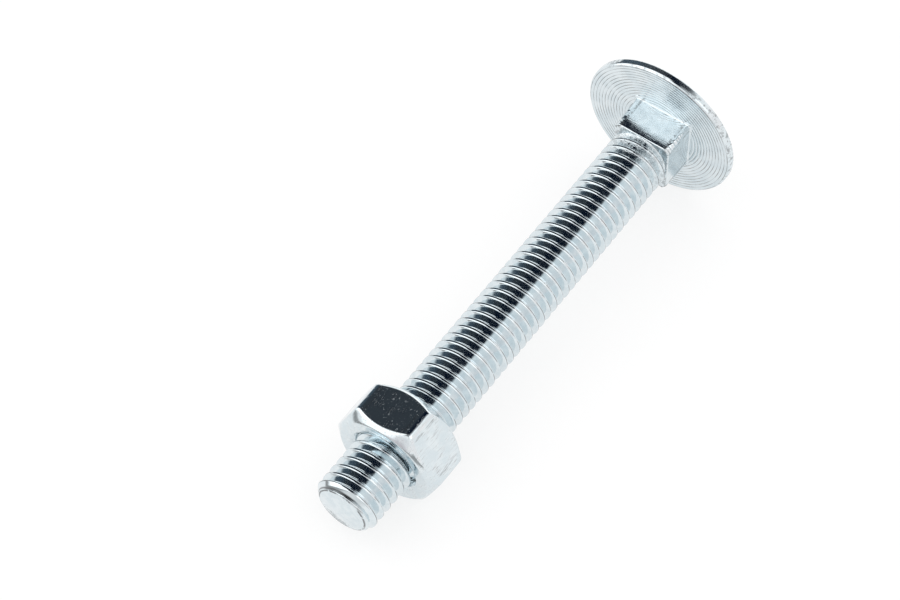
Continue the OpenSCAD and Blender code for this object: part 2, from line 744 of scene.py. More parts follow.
@dataclass(frozen=True, kw_only=True)
class RolledZinc(Zinc):
    """Zinc on the rolled thread, with a dark line in the fold along its crest, a dirty end and
    painted shade in the last groove.

    Args:
        form: The thread, whose crest it follows.
        fold_breaks: Where the fold's dark line shows.
        fold_off: Distance of the fold from the middle of the crest, in pitches.
        fold_width: Distance from the fold at which its line begins, and is full, in pitches.
        fold_r: Radius at which the fold begins, and is full.
        end_breaks: Where the border of the point's flat is dark.
        border_r: Radius at which that border begins, and is full.
        border_end: Distance from the point at which the border begins, and is full.
        groove_shade_end: Edges of the painted shade in the last groove, as distances from the
            point.
        groove_shade_side: Place across the bolt at which that painted shade begins, and is full.
        groove_r: Radius at which that painted shade begins, and is full.
        uneven: The patches on the first turns.
        uneven_z: Height along the bolt at which those patches begin, and are full.
        uneven_depth: Depth of those patches, in millimetres.
        uneven_dirt: Strength of the dirt in them.
    """

    form: ThreadForm
    name: str = "zinc_rolled"
    roughness: Edge = (0.06, 0.11)
    mottle: float = 0.9
    bump: float = 0.003
    marks: float = 0.8
    fold_breaks: Speckle = Speckle(0.9, (0.38, 0.52), ends=(0.15, 1.0))
    fold_off: float = 0.03
    fold_width: Edge = (0.05, 0.022)
    fold_r: Edge = (3.84, 3.9)
    end_breaks: Speckle = Speckle(1.3, (0.42, 0.56))
    border_r: Edge = (2.98, 3.08)
    border_end: Edge = (0.12, 0.04)
    groove_shade_end: Band = ((0.75, 0.6), (0.14, 0.2))
    groove_shade_side: Edge = (3.0, 1.0)
    groove_r: Edge = (3.5, 3.36)
    uneven: Speckle = Speckle(1.5, (0.46, 0.6), detail=5, rough=0.7)
    uneven_z: Edge = (9.0, 5.6)
    uneven_depth: float = 0.02
    uneven_dirt: float = 0.3

    def fold(self, skin: Skin) -> Socket:
        """Draws the broken dark line where the rolled crest folded in on itself: the dirt in the
        fold, and painted shade of its crease.

        Args:
            skin: The surface.

        Returns:
            The line, from 0 to 1.
        """
        graph, form = skin.graph, self.form
        turned = (graph.angle(skin.y, skin.x) - math.radians(form.turn)) * (1 / TURN)
        turns = (skin.z - form.start) * (1 / form.pitch) - turned
        phase = graph.node(
            "ShaderNodeMath", {"operation": "WRAP"}, {0: turns + self.fold_off, 1: 0.5, 2: -0.5}
        )
        off = graph.node("ShaderNodeMath", {"operation": "ABSOLUTE"}, {0: phase})
        # The fold's line is partly dirt and partly painted shade of the crease.
        line = off.ramp(*self.fold_width) * self.fold_breaks.on(skin)
        return line * skin.radius.ramp(*self.fold_r)

    def cut_end(self, skin: Skin) -> Socket:
        """Draws the dirty border of the point's flat and the shade painted in the last groove, on
        one side of the bolt.

        Args:
            skin: The surface.

        Returns:
            The border's dirt and the groove's painted shade, from 0 to 1.
        """
        before_end = self.frame.length - skin.z
        border = skin.radius.ramp(*self.border_r) * before_end.ramp(*self.border_end)
        # Painted shade: the last groove is darkened on one side of the bolt.
        groove = before_end.band(*self.groove_shade_end) * skin.y.ramp(*self.groove_shade_side)
        return border * self.end_breaks.on(skin) + groove * skin.radius.ramp(*self.groove_r)

    def work(self, skin: Skin) -> Socket:
        """Adds the fold's line, the dirty border of the point, painted shade in the last groove
        and the uneven first turns beside the neck.

        Args:
            skin: The surface, whose height it changes.

        Returns:
            Where the surface takes the grime colour: dirt, and painted shade in the fold and the
                last groove, from 0 to 1.
        """
        uneven = self.uneven.on(skin) * skin.z.ramp(*self.uneven_z)
        skin.height = skin.height - uneven * self.uneven_depth
        return self.fold(skin) + self.cut_end(skin) + uneven * self.uneven_dirt


@dataclass(frozen=True, kw_only=True)
class ForgedZinc(Zinc):
    """Zinc on the forged neck, with crossed scratches and burred corners.

    Args:
        scratches: Scale of each set of scratches along each axis.
        scratch_depth: Depth of the scratches where marks is 1, in millimetres.
        pit_cut: Fine noise at which a dirty speck begins, and is full.
        pit_share: Strength of those specks.
        burrs: Where the lines on the corners show.
        corner_r: Edges of the lines along the corners, as radii.
        shoulder_z: Height along the bolt at which the line round the end begins, and is full.
        shoulder_share: Strength of that line.
    """

    name: str = "zinc_forged"
    roughness: Edge = (0.07, 0.13)
    mottle: float = 0.8
    bump: float = 0.004
    marks: float = 0.5
    scratches: tuple[Place, Place] = ((1.5, 6, 0.5), (0.5, 0.6, 7))
    scratch_depth: float = 0.012
    pit_cut: Edge = (0.66, 0.76)
    pit_share: float = 0.6
    burrs: Speckle = Speckle(2.0, (0.44, 0.54), detail=4, rough=0.7)
    corner_r: Band = ((4.74, 4.82), (5.02, 4.92))
    shoulder_z: Edge = (4.6, 4.68)
    shoulder_share: float = 0.8

    def work(self, skin: Skin) -> Socket:
        """Adds the scratches, the dirty specks and the burrs.

        Args:
            skin: The surface, whose height it changes.

        Returns:
            Where the marks hold dirt, from 0 to 1.
        """
        down, over = (skin.graph.streaks(skin.place, scale) for scale in self.scratches)
        skin.height = skin.height + (down + over) * (self.scratch_depth * self.marks)
        corners = skin.radius.band(*self.corner_r)
        shoulder = skin.z.ramp(*self.shoulder_z) * self.shoulder_share
        pits = skin.fine.ramp(*self.pit_cut) * self.pit_share
        return pits + (corners + shoulder) * self.burrs.on(skin)


@dataclass(frozen=True, kw_only=True)
class PressedZinc(Zinc):
    """Zinc on the pressed nut, scored along its flats and pitted, with shade painted in lines
    beside its corners.

    Args:
        score_scale: Scale of the score marks along each axis.
        score_cut: Their noise at which a mark begins, and is full.
        score_cloud: Broad noise at which the scored patches begin, and are full.
        score_height: Height of a mark where marks is 1, in millimetres.
        score_rough: Roughness that a mark adds.
        score_dirt: Strength of the dirt in it.
        dent_cut: Fine noise at which a dent begins, and is full.
        dent_depth: Depth of a dent, in millimetres.
        pits: The pits.
        pit_depth: Depth of a pit, in millimetres.
        speck_dirt_cut: Fine noise at which a dirty speck begins, and is full.
        speck_dirt: Strength of those specks.
        corner_cut: Noise of the score marks at which a painted shade line beside a corner begins,
            and is full.
        corner_r: Edges of the painted shade lines beside the corners, as radii.
        corner_z: Edges of those lines along the bolt, as distances from the nut's near face.
    """

    name: str = "zinc_pressed"
    roughness: Edge = (0.05, 0.1)
    mottle: float = 1.2
    bump: float = 0.0015
    marks: float = 0.5
    score_scale: Place = (12, 12, 0.7)
    score_cut: Edge = (0.56, 0.66)
    score_cloud: Edge = (0.42, 0.58)
    score_height: float = 0.004
    score_rough: float = 0.12
    score_dirt: float = 0.9
    dent_cut: Edge = (0.68, 0.74)
    dent_depth: float = 0.006
    pits: Speckle = Speckle(2.4, (0.69, 0.73), detail=2)
    pit_depth: float = 0.009
    speck_dirt_cut: Edge = (0.7, 0.78)
    speck_dirt: float = 0.5
    corner_cut: Edge = (0.42, 0.58)
    corner_r: Band = ((6.88, 6.93), (7.03, 6.98))
    corner_z: Band = ((1.1, 1.7), (5.1, 4.5))

    def work(self, skin: Skin) -> Socket:
        """Adds the score marks, the dents, the pits and the painted shade lines beside the
        corners.

        Args:
            skin: The surface, whose height and roughness it changes.

        Returns:
            Where the surface takes the grime colour: dirt in the marks and pits, and painted shade
                beside the corners, from 0 to 1.
        """
        along = skin.graph.streaks(skin.place, self.score_scale)
        scored = along.ramp(*self.score_cut) * skin.cloud.ramp(*self.score_cloud)
        dents = skin.fine.ramp(*self.dent_cut) * self.dent_depth
        raised = scored * (self.marks * self.score_height)
        skin.height = skin.height + raised - dents - self.pits.on(skin) * self.pit_depth
        skin.rough = skin.rough + scored * self.score_rough
        from_nut = skin.z - self.frame.nut_at
        # Painted shade: dark lines on the flats beside the corners.
        beside = skin.radius.band(*self.corner_r) * along.ramp(*self.corner_cut)
        beside = beside * from_nut.band(*self.corner_z)
        specks = skin.fine.ramp(*self.speck_dirt_cut) * self.speck_dirt
        return specks + scored * self.score_dirt + beside


# Pieces


@dataclass
class ThreadForm:
    """The ISO metric thread that the shank and the nut share.

    Args:
        crest_r: Radius of the crest.
        pitch: Distance from one crest to the next.
        crest_w: Width of the crest before it is rounded.
        turn: Turn of the thread about the bolt, in degrees.
        start: Height of a crest at that angle.
    """

    crest_r: float = 3.95
    pitch: float = 1.25
    crest_w: float = 0.297
    turn: float = 212.0
    start: float = 3.45

    @property
    def depth(self) -> float:
        """Depth from the crest to the root."""
        return 0.61343 * self.pitch

    @property
    def groove(self) -> float:
        """Height of the middle of a groove at the thread's own zero angle."""
        return self.start + self.pitch / 2

    def swept(
        self, section: Iterable[Point], steps: int, count: int, closed: bool
    ) -> bmesh.types.BMesh:
        """Sweeps a section along the helix from angle 0.

        Args:
            section: (radius, height) points.
            steps: Number of steps in one turn.
            count: Number of steps that it is swept.
            closed: Whether the section's last point joins its first.

        Returns:
            A mesh that is open at its ends.
        """
        bm = bmesh.new()
        bmesh.ops.spin(
            bm, geom=drawn(bm, section, closed), cent=AXIS_AT, axis=AXIS_WAY,
            dvec=(0, 0, self.pitch / steps), angle=TURN * count / steps, steps=count,
            use_merge=False, use_normal_flip=False, use_duplicate=False,
        )
        return bm


@dataclass
class Head:
    """Domed head with a short rim and a turned underside.

    Args:
        radius: Radius of the head.
        height: Height from the bearing face to the top of the dome.
        rim_h: Height from the bearing face to the edge of the dome.
        rim_round: Rounding between the bearing face and the rim.
        crown_round: Rounding between the rim and the dome.
        crown_drop: How far that rounding's centre lies from the rim's edge towards the bearing
            face, as a share of it.
        rim_gap: Length of the last piece of the straight rim, next to its rounding.
        ring_pitch: Distance from one turned groove to the next.
        ring_depth: Depth of a groove.
        ring_inset: Distance of the outermost groove from the flat's outer edge.
        rings: Number of grooves.
        inner_r: Radius under the neck at which the flat is joined to the middle.
        top: Half-angle of the small flat on the top of the dome, in degrees.
        dome_steps: Pieces of the dome's outline.
        crown_steps: Pieces of the crown's rounding.
        rim_steps: Pieces of the rim's rounding.
        ring_steps: Pieces of one groove's outline.
        steps: Steps round the axis.
    """

    radius: float = 10.09
    height: float = 4.3
    rim_h: float = 1.0
    rim_round: float = 0.45
    crown_round: float = 0.18
    crown_drop: float = 0.35
    rim_gap: float = 0.02
    ring_pitch: float = 0.42
    ring_depth: float = 0.055
    ring_inset: float = 0.24
    rings: int = 11
    inner_r: float = 2.0
    top: float = 1.5
    dome_steps: int = 26
    crown_steps: int = 4
    rim_steps: int = 8
    ring_steps: int = 8
    steps: int = 216

    @property
    def groove_r(self) -> float:
        """Radius of the middle of the outermost turned groove."""
        return self.radius - self.rim_round - self.ring_inset

    def outline(self) -> list[Point]:
        """Draws the outline from the top of the dome round the rim to under the neck.

        Returns:
            (radius, height) points.
        """
        dome_h = self.height - self.rim_h
        dome_r = (self.radius**2 + dome_h**2) / (2 * dome_h)
        slope = math.degrees(math.asin(self.radius / dome_r))
        reach = slope - math.degrees(self.crown_round / dome_r)
        shape = Outline((0, -self.height))
        centre = (0, dome_r - self.height)
        shape.arc(centre, dome_r, -90 + self.top, -90 + reach, self.dome_steps)
        inset = self.crown_round
        crown = (self.radius - inset, -self.rim_h + inset * self.crown_drop)
        shape.arc(crown, inset, -90 + slope, 0, self.crown_steps)
        shape.line((self.radius, -self.rim_round - self.rim_gap), 2)
        edge = (self.radius - self.rim_round, -self.rim_round)
        shape.arc(edge, self.rim_round, 0, 90, self.rim_steps)
        start = self.groove_r + self.ring_pitch / 2
        for point in range(self.ring_steps * self.rings + 1):
            rings = point / self.ring_steps
            wave = 0.5 - 0.5 * math.cos(TURN * rings)
            shape.to((start - rings * self.ring_pitch, -self.ring_depth * wave))
        shape.to((self.inner_r, 0), (0, 0))
        return shape.points

    def build(self, shop: Workshop, finish: bpy.types.Material) -> None:
        """Makes the head.

        Args:
            shop: Where the piece is made.
            finish: Its material.
        """
        bm = spun(self.outline(), self.steps)
        bmesh.ops.translate(bm, vec=(0, shop.frame.head_off, 0), verts=bm.verts[:])
        shop.piece("head", bm, finish, Part.BOLT)


@dataclass
class Neck:
    """Square neck with worn corners under the head.

    Args:
        width: Width across the flats.
        depth: Distance from the bearing face to the neck's end.
        turn: Turn of the square about the bolt, in degrees.
        corner_r_head: Radius of the corners at the head.
        corner_r_point: Radius of the corners at the neck's end.
        corner_blend: Softness of the edge between a flat and a worn corner.
        wear: Depth of the uneven wear of the corners at the neck's end.
        wear_scale: Scale of that wear round the bolt and along it.
        wear_seed: Place in the noise that it is read at.
        sunk: How far the neck reaches into the head.
        edge: Rounding of the neck's end.
        edge_from: Angle at which that rounding begins, in degrees, which leaves a crisp edge.
        fillet: Fillet between the neck and the head.
        core_r: Radius of the core, which stays round.
        side_steps: Pieces along the side.
        round_steps: Pieces of a rounding.
        steps: Steps round the axis.
    """

    width: float = 7.6
    depth: float = 4.7
    turn: float = -6.0
    corner_r_head: float = 5.25
    corner_r_point: float = 5.0
    corner_blend: float = 0.03
    wear: float = 0.16
    wear_scale: tuple[float, float] = (4.0, 5.0)
    wear_seed: float = 3.7
    sunk: float = 0.2
    edge: float = 0.16
    edge_from: float = 15
    fillet: float = 0.16
    core_r: float = 2.8
    side_steps: int = 44
    round_steps: int = 5
    steps: int = 360

    def radius(self, angle: float, z: float) -> float:
        """Works out how far the neck's side is from the axis.

        Args:
            angle: Angle about the bolt.
            z: Height along it.

        Returns:
            The distance from the axis to the side.
        """
        quarter = math.pi / 2
        off = (angle - math.radians(self.turn) + quarter / 2) % quarter - quarter / 2
        flat = self.width / 2 / math.cos(off)
        along = clamped(z / self.depth)
        round_scale, z_scale = self.wear_scale
        uneven = noise.noise(Vector((round_scale * angle, z * z_scale, self.wear_seed)))
        worn = self.corner_r_head + (self.corner_r_point - self.corner_r_head) * along
        worn += self.wear * uneven * along
        blend = self.corner_blend
        return -blend * math.log(math.exp(-flat / blend) + math.exp(-worn / blend))

    def build(self, shop: Workshop, finish: bpy.types.Material) -> None:
        """Makes the neck.

        Args:
            shop: Where the piece is made.
            finish: Its material.
        """
        half, fillet, edge = self.width / 2, self.fillet, self.edge
        shape = Outline((self.core_r, -self.sunk)).to((half + fillet, -self.sunk))
        shape.arc((half + fillet, fillet), fillet, 270, 180, self.round_steps)
        shape.line((half, self.depth - edge), self.side_steps)
        shape.arc((half - edge, self.depth - edge), edge, self.edge_from, 90, self.round_steps)
        shape.line((self.core_r, self.depth), self.round_steps)
        bm = spun(shape.points, self.steps, closed=True)
        reshape(bm, self.move)
        shop.piece("neck", bm, finish, Part.BOLT)

    def move(self, angle: float, radius: float, z: float) -> Point:
        """Stretches the round blank out to the square, from the core outwards.

        Args:
            angle: Angle about the bolt.
            radius: Radius on the blank.
            z: Height along the bolt.

        Returns:
            The radius on the neck and the same height.
        """
        share = (radius - self.core_r) / (self.width / 2 - self.core_r)
        return self.core_r + share * (self.radius(angle, z) - self.core_r), z


@dataclass
class Shank:
    """Threaded shank with a run-out at the neck and a chamfered point.

    Args:
        form: The thread.
        length: Length from the bearing face to the point.
        neck_l: Distance from the bearing face to the neck's end.
        neck_lap: How far the shank reaches into the neck.
        point_l: Length of the chamfer on the point.
        point_rows: Number of rows of edges across the chamfer.
        lip: Length of the rounding between the chamfer and the point's flat.
        lip_depth: Depth of that rounding.
        runout_l: Length over which the thread fades into the plain stub.
        blank_share: Share of the thread's depth by which the stub is under the crest.
        crest_round: Rounding of the crest.
        root_round: Rounding of the root.
        flank_loops: Places of the two loops on a flank, as shares of its height.
        crest_loop: Place of the loop on the crest, as a share of half its width.
        wear: Height of the uneven wear of the crest.
        wear_in: How far under the crest the wear begins.
        wear_scale: Scale of the wear round the bolt and along it.
        steps: Steps in one turn.
        weld: Distance at which the turns are joined.
    """

    form: ThreadForm
    length: float
    neck_l: float = 4.7
    neck_lap: float = 0.4
    point_l: float = 0.8
    point_rows: int = 15
    lip: float = 0.1
    lip_depth: float = 0.06
    runout_l: float = 0.9
    blank_share: float = 0.35
    crest_round: float = 0.11
    root_round: float = 0.06
    flank_loops: tuple[float, float] = (0.07, 0.93)
    crest_loop: float = 0.75
    wear: float = 0.012
    wear_in: float = 0.2
    wear_scale: tuple[float, float] = (4.0, 1.3)
    steps: int = 60
    weld: float = 0.006

    def section(self) -> list[Point]:
        """Draws one pitch of the thread from root to root, crest in the middle.

        Returns:
            (radius, height) points, with a loop close to each rounding that keeps the flanks
            and the crest flat under smooth shading.
        """
        f = self.form
        flat = f.crest_w / 2 - self.crest_round * FLANK_SLOPE
        middle = f.pitch / 2
        bottom = f.crest_r - (middle - f.crest_w / 2) / FLANK_SLOPE + self.root_round
        turns = [math.radians(angle) for angle in (0, 20, 40, 60)]
        root = [
            (bottom + self.root_round * (1 - math.cos(turn)),
             -middle + self.root_round * math.sin(turn))
            for turn in turns
        ]
        crest = [
            (f.crest_r - self.crest_round * (1 - math.cos(turn)),
             -flat - self.crest_round * math.sin(turn))
            for turn in reversed(turns)
        ]
        flank = [between(root[-1], crest[0], share) for share in self.flank_loops]
        half = [*root, *flank, *crest, (f.crest_r, -flat * self.crest_loop)]
        return [*half, *((r, -z) for r, z in reversed(half))]

    def move(self, angle: float, radius: float, z: float) -> Point:
        """Fades the thread into the run-out and cuts the chamfer on the point.

        Args:
            angle: Angle about the bolt.
            radius: Radius before the move.
            z: Height along the bolt.

        Returns:
            The new radius and the same height.
        """
        f = self.form
        blank = f.crest_r - self.blank_share * f.depth
        formed = clamped((z - self.neck_l + self.neck_lap) / self.runout_l)
        radius = blank + (radius - blank) * formed
        on_crest = smooth_step(radius, f.crest_r - self.wear_in, f.crest_r)
        round_scale, z_scale = self.wear_scale
        way = (math.cos(angle) * round_scale, math.sin(angle) * round_scale, z * z_scale)
        radius += self.wear * noise.noise(Vector(way)) * on_crest
        before_end = self.length - z
        chamfer = f.crest_r - self.point_l + before_end
        if before_end < self.lip:
            chamfer -= self.lip_depth * (1 - before_end / self.lip) ** 2
        return min(radius, chamfer), z

    def build(self, shop: Workshop, finish: bpy.types.Material) -> None:
        """Makes the shank.

        Args:
            shop: Where the piece is made.
            finish: Its material.
        """
        f = self.form
        start = self.neck_l - f.pitch
        needed = math.ceil((self.length - start) / f.pitch) + 2
        section = [(r, z + start - f.pitch) for r, z in self.section()]
        bm = f.swept(section, self.steps, self.steps, closed=False)
        turns = 1
        while turns < needed:
            copy = bmesh.ops.duplicate(bm, geom=[*bm.verts, *bm.edges, *bm.faces])["geom"]
            moved = [part for part in copy if isinstance(part, bmesh.types.BMVert)]
            bmesh.ops.translate(bm, vec=(0, 0, turns * f.pitch), verts=moved)
            turns *= 2
        bmesh.ops.remove_doubles(bm, verts=bm.verts[:], dist=self.weld)
        turned_by(bm, math.radians(f.turn))
        for row in range(1, self.point_rows + 1):
            self.cut(bm, self.length - self.point_l * row / self.point_rows, 0)
        self.cut(bm, self.length, 1)
        self.cut(bm, self.neck_l - self.neck_lap, -1)
        reshape(bm, self.move)
        close_ends(bm)
        shop.piece("threaded_shank", bm, finish, Part.BOLT)

    def cut(self, bm: bmesh.types.BMesh, z: float, away: int) -> None:
        """Cuts the mesh across at a height.

        Args:
            bm: The mesh.
            z: Height of the cut.
            away: 1 clears what is above the cut, -1 what is below it and 0 nothing.
        """
        bmesh.ops.bisect_plane(
            bm, geom=[*bm.verts, *bm.edges, *bm.faces], dist=LEVEL_WITHIN,
            plane_co=(0, 0, z), plane_no=AXIS_WAY, use_snap_center=False,
            clear_outer=away > 0, clear_inner=away < 0,
        )


@dataclass
class Nut:
    """Hexagon nut with chamfered ends, countersinks and an internal thread.

    Args:
        form: The thread.
        at: Distance from the bearing face to the nut.
        width: Width across the flats.
        height: Height of the nut.
        corner_round: Rounding of the hexagon's corners.
        face_r: Radius of the flat on each end.
        chamfer: Angle of the chamfer to the end, in degrees.
        face_round: Rounding between an end and its chamfer.
        edge_round: Rounding between a chamfer and the flats.
        edge_gap: Height of the loop that keeps the flats flat under smooth shading.
        bore_r: Radius of the bore.
        sink_r: Radius of the countersinks.
        sink_loop: Distance of the last loop in a countersink from its edge, both ways.
        sink_break: Width and depth of the small break on that edge.
        line_steps: Pieces of each straight line of the outline.
        face_steps: Pieces of the rounding between an end and its chamfer.
        edge_steps: Pieces of the rounding between a chamfer and the flats.
        steps: Steps round the axis.
        ridge_r: Radius of the ridge's crest, which stays clear of the bolt's root.
        ridge_w: Half the width of that crest.
        ridge_edge: Size of the small break on each of its edges.
        ridge_sunk: How far the ridge reaches into the wall of the bore.
        ridge_inset: Distance of the ridge from each end of the nut.
        ridge_gap: How far the ridge stays behind the countersinks.
        ridge_steps: Steps of the ridge in one turn.
    """

    form: ThreadForm
    at: float
    width: float = 12.8
    height: float = 6.2
    corner_round: float = 1.0
    face_r: float = 5.95
    chamfer: float = 42.0
    face_round: float = 0.4
    edge_round: float = 0.6
    edge_gap: float = 0.1
    bore_r: float = 4.05
    sink_r: float = 4.55
    sink_loop: float = 0.06
    sink_break: Point = (0.07, 0.02)
    line_steps: int = 3
    face_steps: int = 5
    edge_steps: int = 7
    steps: int = 360
    ridge_r: float = 3.42
    ridge_w: float = 0.13
    ridge_edge: float = 0.03
    ridge_sunk: float = 0.12
    ridge_inset: float = 0.1
    ridge_gap: float = 0.03
    ridge_steps: int = 60

    @property
    def slope(self) -> float:
        """Angle of the chamfer to the end, in radians."""
        return math.radians(self.chamfer)

    @property
    def edge_back(self) -> float:
        """Distance along the chamfer and the flat that the rounding between them takes up."""
        return self.edge_round * math.tan((math.pi / 2 - self.slope) / 2)

    def radius(self, angle: float) -> float:
        """Works out how far the side of the rounded hexagon is from the axis.

        Args:
            angle: Angle about the bolt.

        Returns:
            The distance from the axis to the side.
        """
        sixth = math.pi / 3
        off = abs((angle + sixth / 2) % sixth - sixth / 2)
        half = self.width / 2
        core = half - self.corner_round
        if math.tan(off) * half < core * math.tan(sixth / 2):
            return half / math.cos(off)
        from_corner = sixth / 2 - off
        centre = core / math.cos(sixth / 2)
        side = centre * math.sin(from_corner)
        return centre * math.cos(from_corner) + math.sqrt(self.corner_round**2 - side**2)

    def end_outline(self) -> list[Point]:
        """Draws the outline of one end, from the bore's wall to the middle of a flat.

        Returns:
            (radius, height) points.
        """
        slope, back, pieces = self.slope, self.edge_back, self.line_steps
        half, middle = self.width / 2, self.height / 2
        tangent = self.face_round * math.tan(slope / 2)
        drop = (half - self.face_r) * math.tan(slope)
        shape = Outline((self.bore_r, middle))
        shape.line((self.bore_r, self.sink_r - self.bore_r), pieces)
        shape.line((self.sink_r - self.sink_loop, self.sink_loop), pieces)
        break_w, break_h = self.sink_break
        shape.to((self.sink_r, break_h), (self.sink_r + break_w, 0))
        shape.line((self.face_r - tangent, 0), pieces)
        face = (self.face_r - tangent, self.face_round)
        shape.arc(face, self.face_round, -90, -90 + self.chamfer, self.face_steps)
        shape.line((half - back * math.cos(slope), drop - back * math.sin(slope)), pieces)
        edge = (half - self.edge_round, drop + back)
        shape.arc(edge, self.edge_round, -90 + self.chamfer, 0, self.edge_steps)
        shape.to((half, drop + back + self.edge_gap), (half, middle))
        return shape.points

    def move(self, angle: float, radius: float, z: float) -> Point:
        """Stretches the round blank out to the hexagon along the chamfers.

        Args:
            angle: Angle about the bolt.
            radius: Radius on the blank.
            z: Height on the blank.

        Returns:
            The radius and height on the nut.
        """
        half, middle = self.width / 2, self.height / 2
        chamfer_w = half - self.edge_back * math.cos(self.slope) - self.face_r
        share = clamped((radius - self.face_r) / chamfer_w)
        grow = self.radius(angle) - half
        at_middle = abs(z - middle) < LEVEL_WITHIN
        drop = 0.0 if at_middle else grow * math.tan(self.slope) * share
        return radius + grow * share, z + math.copysign(drop, middle - z)

    def build(self, shop: Workshop, finish: bpy.types.Material) -> None:
        """Makes the nut's blank and the thread inside it.

        Args:
            shop: Where the pieces are made.
            finish: Their material.
        """
        lower = self.end_outline()
        upper = [(r, self.height - z) for r, z in reversed(lower)][1:-1]
        bm = spun(lower + upper, self.steps, closed=True)
        reshape(bm, self.move)
        bmesh.ops.translate(bm, vec=(0, 0, self.at), verts=bm.verts[:])
        shop.piece("nut", bm, finish, Part.NUT)
        shop.piece("nut_thread", self.ridge(), finish, Part.NUT)

    def ridge(self) -> bmesh.types.BMesh:
        """Makes the helical ridge inside the nut, in step with the grooves of the bolt.

        Returns:
            A closed mesh.
        """
        f, steps = self.form, self.ridge_steps
        base_r, tip_r, half, edge = (
            self.bore_r + self.ridge_sunk, self.ridge_r, self.ridge_w, self.ridge_edge
        )
        wide = half + (base_r - tip_r) * FLANK_SLOPE
        near = [(base_r, -wide), (tip_r + edge, -half - edge / 2), (tip_r, -half + edge)]
        loop = [*near, *((r, -z) for r, z in reversed(near))]
        inset = wide + self.ridge_inset
        count = round((self.height - 2 * inset) / f.pitch * steps)
        bm = f.swept(loop, steps, count, closed=True)
        close_ends(bm)
        start = self.at + inset
        turned_by(bm, (start - f.groove) / f.pitch * TURN + math.radians(f.turn))
        bmesh.ops.translate(bm, vec=(0, 0, start), verts=bm.verts[:])
        reshape(bm, self.countersunk)
        return bm

    def countersunk(self, angle: float, radius: float, z: float) -> Point:
        """Cuts the ridge back to the cones of the countersinks.

        Args:
            angle: Angle about the bolt.
            radius: Radius on the full ridge.
            z: Height along the bolt.

        Returns:
            The new radius and the same height.
        """
        depth = min(z - self.at, self.at + self.height - z)
        return max(radius, self.sink_r + self.ridge_gap - depth), z


# Studio


@dataclass(frozen=True)
class Patch:
    """A patch of the surroundings with soft edges, placed by its direction from the bolt.

    Args:
        along: Its edges along the bolt, as the cosine of the angle from the point's direction.
        around: Its edges round the bolt, in degrees from up, growing towards +Y.
    """

    along: Band
    around: Band

    def mask(self, along: Socket, around: Socket) -> Socket:
        """Gives 1 inside the patch and 0 outside it."""
        return along.band(*self.along) * around.sector(*self.around)


@dataclass(frozen=True)
class Softbox:
    """A square lamp that points at the bolt.

    Args:
        name: Its name.
        at: Where it stands, in metres.
        size: Its side, in metres.
        power: Its power, in watts.
    """

    name: str
    at: Place
    size: float
    power: float

    def build(self) -> None:
        """Makes the lamp."""
        data = bpy.data.lights.new(self.name, "AREA")
        data.shape = "SQUARE"
        data.size = self.size
        data.energy = self.power
        lamp = bpy.data.objects.new(self.name, data)
        lamp.location = self.at
        lamp.rotation_euler = (-Vector(self.at)).to_track_quat("-Z", "Y").to_euler()
        bpy.context.scene.collection.objects.link(lamp)


@dataclass(frozen=True)
class Camera:
    """The camera.

    Args:
        at: Where it stands, in metres.
        turn: Its rotation, in degrees.
        lens: Its focal length, in millimetres.
        sensor: Width of its sensor, in millimetres.
        clip: Nearest and furthest distance that it sees, in metres.
    """

    at: Place = (0.170650, 0.132600, 0.265546)
    turn: Place = (39.96928, 3.1091, 126.13953)
    lens: float = 116.0
    sensor: float = 36.0
    clip: tuple[float, float] = (0.01, 20.0)

    def build(self) -> None:
        """Makes the camera."""
        data = bpy.data.cameras.new("camera")
        data.lens = self.lens
        data.sensor_width = self.sensor
        data.clip_start, data.clip_end = self.clip
        made = bpy.data.objects.new("camera", data)
        made.location = self.at
        made.rotation_euler = [math.radians(angle) for angle in self.turn]
        bpy.context.scene.collection.objects.link(made)
        bpy.context.scene.camera = made


